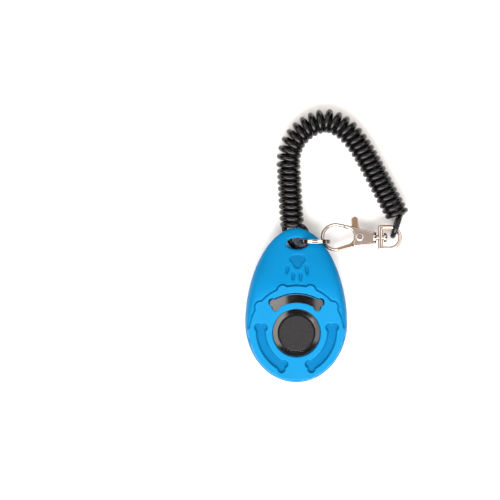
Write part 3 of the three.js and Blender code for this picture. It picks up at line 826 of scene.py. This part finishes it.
def gate_rivet():
    grip = BODY_THICKNESS / 2 + 0.05
    half = [(0, grip - 0.4), (0.72, grip - 0.3), (0.8, grip + 0.34), (0.9, grip + 0.42), (1.55, grip + 0.33),
            (1.75, grip + 0.18), (1.8, grip), (1.2, grip)]
    profile = half + [(r, -h) for r, h in half[::-1]]
    centre = (CLASP_CENTRE[0], CLASP_CENTRE[1] + RIVET_Y, CLASP_CENTRE[2])
    return lathe("rivet", profile, centre, segments=48)


def swivel_pin():
    profile = [(0, 6.0), (1.0, 6.0), (1.0, 10.2), (1.9, 10.2), (2.0, 10.35), (2.0, 11.0), (1.7, 11.35),
               (1.2, 11.5), (0, 11.5)]
    return lathe("pin", profile, CLASP_CENTRE, "x", 48)


def swivel_eye():
    """A D-shaped loop with a straight bar at the pin, which goes through a bore."""
    middle, centre = np.array((EYE_STRAIGHT, 0.0)), (EYE_X, *CLASP_CENTRE[1:])

    def outline(from_x, half, rounding):
        low, high = ((from_x + rounding, side * (half - rounding)) for side in (-1, 1))
        corners = [point for place, turn in ((high, 90), (low, 180))
                   for point in arc(place, (rounding, rounding), turn, turn + 90, 4)]
        return corners, corners + arc(middle, (half, half), -90, 90, 40)
    outer_corners, outer = outline(0, EYE_HALF, 1.0)
    inner_corners, inner = outline(EYE_BASE, EYE_HALF - EYE_BAR, 0.45)
    corners = np.sort([math.atan2(y, x - EYE_STRAIGHT) for x, y in outer_corners + inner_corners])
    even = [angle for angle in np.linspace(-math.pi, math.pi, 72, endpoint=False)
            if np.abs(corners - angle).min() > 0.03]
    angles = np.sort(np.concatenate([even, corners[np.diff(corners, prepend=-9) > 0.035]]))
    outer, inner = (by_angle(loop, middle, angles) for loop in (outer, inner))
    eye = plate("swivel_loop", outer, HOOK_THICKNESS, 0.7, centre, 5, inner)
    bore = [(0, -1), (1.1, -1), (1.1, EYE_BASE + 1), (0, EYE_BASE + 1)]
    return cut(eye, lathe("bore", bore, centre, "x", 32))


# ---- Cord ----

def helix_points():
    """The coil's own stretch, wound left-handed round its route and opened along the bend."""
    start = (COIL_ROUTE[0][0], COIL_START_Y)
    route = smooth_path([(x, y, COIL_Z) for x, y in (start, *COIL_ROUTE[1:])], 0.05)
    along = distances_along(route)
    share = along / along[-1]
    arch = smoothstep((share - 0.2) / 0.12) * smoothstep((0.72 - share) / 0.14)
    pitch = LEG_PITCH + (ARCH_PITCH - LEG_PITCH) * arch
    phase = np.concatenate([[0], np.cumsum(np.diff(along) / pitch[:-1])])
    turns = round(phase[-1] * 2) / 2 + 0.25
    phase *= turns / phase[-1]
    marks = np.linspace(0, turns, int(turns * 36))
    centre = np.stack([np.interp(marks, phase, route[:, k]) for k in range(3)], 1)
    up = np.array((0, 0, 1.0))
    angle = 2 * math.pi * marks[:, None]
    return centre + COIL_RADIUS * (np.cos(angle) * np.cross(tangents_along(centre), up) + np.sin(angle) * up)


def clasp_loop_points():
    """Round the swivel eye's bar, standing on edge, and back into the coil's end."""
    start, along = np.array(CLASP_LOOP_START), np.array(CLASP_LOOP_ALONG)

    def at(distance, height):
        x, y = start + along * distance
        return (x, y, CLASP_LOOP_Z + height)
    straight, radius = CLASP_LOOP_REACH - CLASP_LOOP_RADIUS, CLASP_LOOP_RADIUS
    bend = [at(straight + radius * math.cos(a), radius * math.sin(a))
            for a in np.radians((75, 50, 25, 0, -25, -50, -75))]
    return ([at(0.4, radius), at(straight, radius)] + bend
            + [at(straight, -radius), at(1.0, -radius), at(-0.6, -3.0), at(-2.4, -1.4), at(-4.5, -0.9)])


def wrist_cord():
    helix = helix_points()
    case_end = smooth_path(CASE_LOOP, 0.3)
    clasp_end = smooth_path(clasp_loop_points(), 0.3)
    joined = np.vstack([case_end, helix[3:-3], clasp_end])
    path = resample(joined, 0.62, closed=False)
    place = np.arange(len(path))
    in_loop = (np.minimum(place, place[::-1]) < LOOP_POINTS)[1:-1, None]
    for step in range(8):
        softer = 0.25 * path[:-2] + 0.5 * path[1:-1] + 0.25 * path[2:]
        path[1:-1] = np.where(in_loop | (step < 2), softer, path[1:-1])
    cord = sweep("wrist_cord", path, circle_section(CORD_RADIUS, 14), sharp_angle=80)
    return cord, path


# ---- Materials ----

class Nodes:
    """Short calls for the nodes of a material or of the world."""

    def __init__(self, owner):
        owner.use_nodes = True
        self.owner, self.tree = owner, owner.node_tree
        self.coordinates = self.node("TexCoord").outputs

    def node(self, kind, **inputs):
        """A new shader node, with its inputs set or linked by name."""
        node = self.tree.nodes.new("ShaderNode" + kind)
        for name, value in inputs.items():
            self.feed(node.inputs[name.replace("_", " ")], value)
        return node

    def feed(self, socket, value):
        if isinstance(value, bpy.types.NodeSocket):
            self.tree.links.new(value, socket)
        else:
            socket.default_value = value

    def math(self, operation, *values):
        node = self.node("Math")
        node.operation = operation
        for socket, value in zip(node.inputs, values):
            self.feed(socket, value)
        return node.outputs["Value"]

    def range(self, value, low, high, from_low=0.3, from_high=0.7):
        limits = {"From Min": from_low, "From Max": from_high, "To Min": low, "To Max": high}
        return self.node("MapRange", Value=value, **limits).outputs["Result"]


class Material(Nodes):
    """A material being built round its principled shader."""

    def __init__(self, name):
        super().__init__(bpy.data.materials.new(name))
        self.shader = self.tree.nodes["Principled BSDF"]

    def noise(self, scale, detail=3.0, roughness=0.5):
        place = self.coordinates["Object"]
        return self.node("TexNoise", Scale=scale, Detail=detail, Roughness=roughness,
                         Vector=place).outputs["Fac"]

    def ramp(self, value, low, high, start=0.3, end=0.7):
        """Two colours, blended between two values."""
        node = self.node("ValToRGB", Fac=value)
        for element, position, colour in zip(node.color_ramp.elements, (start, end), (low, high)):
            element.position = position
            element.color = (*colour, 1)
        return node.outputs["Color"]

    def mix(self, share, a, b):
        node = self.node("Mix")
        node.data_type = "RGBA"
        colours = [socket for socket in node.inputs if socket.type == "RGBA"]
        for socket, value in zip([node.inputs[0], *colours], (share, a, b)):
            self.feed(socket, value)
        return next(socket for socket in node.outputs if socket.type == "RGBA")

    def height(self, kind):
        """The upward part of the object's own coordinates: "Object" places or "Normal" directions."""
        return self.node("SeparateXYZ", Vector=self.coordinates[kind]).outputs["Z"]

    def height_share(self, low, high):
        """From 0 to 1 with the height over the floor."""
        return self.range(self.height("Object"), 0.0, 1.0, low, high)

    def flatness(self, low, high):
        """From 0 on the sides of a piece to 1 on its top and bottom."""
        return self.range(self.math("ABSOLUTE", self.height("Normal")), 0.0, 1.0, low, high)

    def bump(self, height, strength, distance):
        node = self.node("Bump", Strength=strength, Distance=distance, Height=height)
        self.feed(self.shader.inputs["Normal"], node.outputs["Normal"])

    def set(self, **values):
        for name, value in values.items():
            self.feed(self.shader.inputs[name.replace("_", " ")], value)
        return self.owner


def scaled(colour, share):
    return tuple(share * part for part in colour)


def blue_plastic(name, pale, painted_shade_colour):
    """Moulded ABS: the raised face keeps the pale blue; the textured dome and the recesses below it get a
    darker blue, which is painted shade.
    """
    n = Material(name)
    # Below these heights the blue is darker: painted shade on the dome and in the recesses.
    height = n.height_share(FACE_FADE[0] * MM, FACE_FADE[1] * MM)
    cloud = n.noise(60, 4, 0.55)
    grain = n.noise(5200, 2, 0.6)
    raised = n.ramp(cloud, scaled(pale, 0.95), pale)
    painted_shade_tone = n.ramp(cloud, scaled(painted_shade_colour, 0.93), painted_shade_colour)
    n.bump(n.math("ADD", n.math("MULTIPLY", grain, 0.7), n.math("MULTIPLY", n.noise(1400, 2), 0.3)),
           0.15, 0.00004)
    return n.set(Base_Color=n.mix(height, painted_shade_tone, raised), Roughness=n.range(n.noise(900, 4), 0.38, 0.5),
                 Metallic=0.0, Specular_IOR_Level=0.06)


def button_plastic():
    """Dark grey plastic with a coarse spark texture."""
    n = Material("button_plastic")
    grain = n.noise(2600, 5, 0.7)
    fleck = n.noise(1100, 3, 0.6)
    colour = n.ramp(n.math("MULTIPLY", n.math("ADD", grain, fleck), 0.5),
                    (0.005, 0.0045, 0.006), (0.0185, 0.0168, 0.0205), 0.36, 0.62)
    n.bump(grain, 0.5, 0.00008)
    return n.set(Base_Color=colour, Roughness=n.range(grain, 0.62, 0.85), Metallic=0.0,
                 Specular_IOR_Level=0.35)


def gloss_black():
    """Smooth black plastic at the button's edge."""
    n = Material("gloss_black")
    mottle = n.noise(500, 3)
    n.bump(n.noise(1500, 3), 0.08, 0.00002)
    return n.set(Base_Color=n.ramp(mottle, (0.003, 0.003, 0.004), (0.006, 0.006, 0.006)),
                 Roughness=n.range(mottle, 0.2, 0.28), Metallic=0.0, Specular_IOR_Level=0.2)


def spring_steel():
    """Polished spring steel with faint turning marks round the axis."""
    n = Material("spring_steel")
    wave = n.node("TexWave", Scale=900, Distortion=2.0, Detail=3.0, Vector=n.coordinates["Object"])
    wave.wave_type = "RINGS"
    wave.rings_direction = "Z"
    smear = n.noise(300, 4, 0.6)
    n.bump(wave.outputs["Fac"], 0.06, 0.00001)
    return n.set(Base_Color=n.ramp(smear, (0.58, 0.55, 0.54), (0.7, 0.67, 0.66)),
                 Roughness=n.range(smear, 0.05, 0.1), Metallic=1.0)


def nickel(name="nickel", warm=(0.69, 0.58, 0.52)):
    """Nickel plate over a die casting: bright on top, with its sides painted darker as painted shade for the
    dark reflections at the edges, and with faint smears and pits.
    """
    n = Material(name)
    smear = n.noise(260, 4, 0.6)
    bright = n.ramp(smear, scaled(warm, 0.82), warm)
    # The darker colour on sideways faces is painted shade, standing in for dark reflections.
    painted_dark_sides = n.ramp(smear, scaled(warm, 0.24), scaled(warm, 0.36))
    n.bump(n.noise(3000, 3, 0.6), 0.06, 0.00001)
    return n.set(Base_Color=n.mix(n.flatness(0.6, 0.9), painted_dark_sides, bright), Roughness=n.range(smear, 0.07, 0.13),
                 Metallic=1.0)


def screw_steel():
    n = Material("zinc_steel")
    smear = n.noise(700, 4, 0.6)
    n.bump(smear, 0.2, 0.00003)
    return n.set(Base_Color=n.ramp(smear, (0.42, 0.42, 0.4), (0.6, 0.6, 0.58)),
                 Roughness=n.range(smear, 0.28, 0.45), Metallic=1.0)


def cord_rubber():
    """Glossy black TPU with a soft extruded skin."""
    n = Material("cord_rubber")
    mottle = n.noise(400, 4, 0.6)
    n.bump(n.noise(2500, 3, 0.6), 0.12, 0.00003)
    return n.set(Base_Color=n.ramp(mottle, (0.003, 0.003, 0.0035), (0.006, 0.0055, 0.006)),
                 Roughness=n.range(mottle, 0.1, 0.16), Metallic=0.0, Specular_IOR_Level=0.36)


def floor_material():
    n = Material("pale_floor")
    return n.set(Base_Color=n.ramp(n.noise(6, 3), scaled((1, 1, 1), 0.94), scaled((1, 1, 1), 0.97)),
                 Roughness=0.6, Metallic=0.0)


def coat(piece, material):
    piece.data.materials.clear()
    piece.data.materials.append(material)


def finish(piece, material, body, slot, *nodes):
    """Gives a new piece its material and its body, and hides the CAD nodes that it stands for. The slot
    argument is not used.
    """
    coat(piece, material)
    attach(piece, body)
    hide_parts(*nodes)
    return piece


# ---- Camera, light and floor ----

def set_camera():
    middle = [(low + high) / 2 for low, high in zip(cad_low, cad_high)]
    camera = add_object("camera", bpy.data.cameras.new("camera"))
    camera.location = (middle[0] + VIEW_OFFSET[0] * MM, middle[1] + VIEW_OFFSET[1] * MM, CAMERA_HEIGHT * MM)
    camera.data.sensor_width = SENSOR_WIDTH
    camera.data.lens = SENSOR_WIDTH * (CAMERA_HEIGHT - middle[2] / MM) / VIEW_WIDTH
    camera.data.clip_start = 0.01
    bpy.context.scene.camera = camera


# Softboxes overhead: low and high side of each, as slopes x/z and y/z seen from the object, and its light
SOFTBOXES = (
    ((-0.75, -0.14), (-0.06, 0.5), 0.42),
    ((0.17, -0.12), (0.75, 0.36), 0.26),
    ((-0.05, -0.10), (0.16, 0.08), 0.66),
)
BOX_FADE = 0.012  # half the width of a softbox's soft edge
STUDIO_LEVEL, STUDIO_WARMTH = 0.02, (1.0, 0.95, 0.91)
ROOM = (0.36, 0.62, 1.3, 1.8)  # the slopes between which the ceiling round the softboxes is lit
ROOM_LEVEL = 3.1
BACK_SHARE = 0.35  # how much of it is left on the far side, beyond the tip


def set_world():
    """A dim studio: three softboxes overhead, and a lit ceiling in a band round them."""
    world = bpy.data.worlds.new("studio")
    bpy.context.scene.world = world
    n = Nodes(world)
    split = n.node("SeparateXYZ", Vector=n.coordinates["Generated"])

    def product(*values):
        result = values[0]
        for value in values[1:]:
            result = n.math("MULTIPLY", result, value)
        return result

    def fade(value, start, end):
        return n.range(value, 0.0, 1.0, start, end)

    up = n.math("MAXIMUM", split.outputs["Z"], 0.02)
    slopes = [n.math("DIVIDE", split.outputs[axis], up) for axis in ("X", "Y")]
    steepness = n.math("SQRT", n.math("ADD", *(product(slope, slope) for slope in slopes)))
    away = n.math("ADD", product(fade(slopes[1], 1.5, -0.5), 1 - BACK_SHARE), BACK_SHARE)
    room = product(fade(steepness, ROOM[0], ROOM[1]), fade(steepness, ROOM[3], ROOM[2]), ROOM_LEVEL, away)
    level = n.math("ADD", room, STUDIO_LEVEL)
    for low, high, brightness in SOFTBOXES:
        edges = [fade(slope, edge - way * BOX_FADE, edge + way * BOX_FADE)
                 for slope, *ends in zip(slopes, low, high) for edge, way in zip(ends, (1, -1))]
        level = n.math("ADD", level, product(*edges, brightness))
    tint = n.node("VectorMath")
    tint.operation = "SCALE"
    n.feed(tint.inputs[0], STUDIO_WARMTH)
    n.feed(tint.inputs["Scale"], level)
    n.feed(n.tree.nodes["Background"].inputs["Color"], tint.outputs["Vector"])


def add_key_light():
    """A large panel in front of the object and above it."""
    light = bpy.data.lights.new("key", "AREA")
    light.shape = "RECTANGLE"
    light.size, light.size_y = 1.8, 1.2
    light.energy = 44
    light.color = (1.0, 0.985, 0.97)
    lamp = add_object("key", light)
    lamp.location = (-0.12, -1.2, 1.4)
    aim = Vector((0.01, 0.035, 0)) - lamp.location
    lamp.rotation_euler = aim.to_track_quat("-Z", "Y").to_euler()


def set_stage():
    size = 3.0
    vertices = [(-size, -size, 0), (size, -size, 0), (size, size, 0), (-size, size, 0)]
    floor = make_object("floor", np.array(vertices) / MM, [(0, 1, 2, 3)])
    floor.data.materials.append(floor_material())
    set_world()
    add_key_light()
    bpy.context.scene.view_settings.view_transform = "Standard"


# ---- The object ----

set_camera()

cord, cord_path = wrist_cord()
finish(cord, cord_rubber(), "case", "cord_rubber", "wrist_coil", "case_cord_loop", "clasp_cord_loop")

set_stage()

front_blue = blue_plastic("front_blue", (0.0065, 0.217, 0.476), (0.0007, 0.19, 0.44))
back_blue = blue_plastic("back_blue", (0.0055, 0.207, 0.455), (0.0007, 0.173, 0.407))
metal = nickel()
steel = spring_steel()
cover, recesses = front_cover()
finish(cover, front_blue, "case", "cover_plastic", "front_cover")
# The darker blue on the recess floors is painted shade.
paint_recess_shade(cover, recesses, blue_plastic("recess_painted_shade_blue", (0.0007, 0.152, 0.366), (0.0007, 0.147, 0.355)))
finish(back_cover(), back_blue, "case", "cover_plastic", "back_cover")
click_plate = finish(click_dome(), steel, "case", "spring_steel", "click_dome")
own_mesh(click_plate)
button = finish(button_cap(), button_plastic(), "button", "button_plastic", "button_cap")
gloss_edge(button, gloss_black())
finish(split_ring(), metal, "ring", "nickel", "split_ring")
finish(clasp_body(), metal, "clasp", "nickel", "clasp_body")
finish(clasp_gate(), nickel("gate_nickel", (0.53, 0.37, 0.26)), "gate", "nickel", "clasp_gate")
finish(gate_rivet(), nickel("rivet_nickel", (0.42, 0.35, 0.31)), "clasp", "nickel", "gate_rivet")
finish(swivel_pin(), metal, "clasp", "nickel", "swivel_pin")
finish(swivel_eye(), metal, "case", "nickel", "swivel_eye")

zinc = screw_steel()
for node, material in (("case_screw", zinc), ("button_retainer", zinc), ("gate_spring", steel)):
    coat(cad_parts[node], material)
